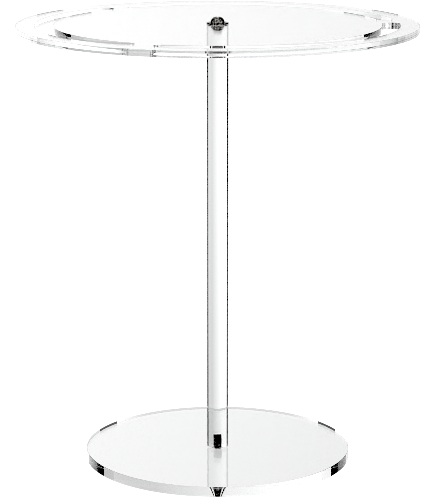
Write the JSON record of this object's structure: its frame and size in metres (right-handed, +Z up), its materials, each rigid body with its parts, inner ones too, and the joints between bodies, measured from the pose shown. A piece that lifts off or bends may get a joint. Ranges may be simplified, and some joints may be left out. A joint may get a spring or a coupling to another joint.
{
  "type": "rotating display rack",
  "caption": "Countertop rotating display stand in clear acrylic: a slotted round disc for hanging spectacles turns on a round post above a round base.",
  "frame": {"origin": "centre of the base's underside, on the table", "axes": "+Z up along the post, which is the carousel's axis; -Y is the front, +X is to the right seen from the front"},
  "size_m": [0.2, 0.2, 0.2268],
  "materials": {
    "clear_acrylic": "clear cast acrylic with polished faces and edges",
    "dark_steel": "black nickel plated steel",
    "plain_steel": "plain turned steel"
  },
  "bodies": {
    "stand": {"base_disc": "clear_acrylic", "base_screw": "dark_steel", "post": "clear_acrylic", "pivot_bush": "plain_steel", "cap_washer": "dark_steel", "pivot_screw": "dark_steel"},
    "carousel": {"top_disc": "clear_acrylic"}
  },
  "joints": [
    {"name": "carousel_spin", "type": "hinge", "parent": "stand", "child": "carousel", "pos_m": [0, 0, 0.2215], "axis": [0, 0, 1], "continuous": true}
  ]
}
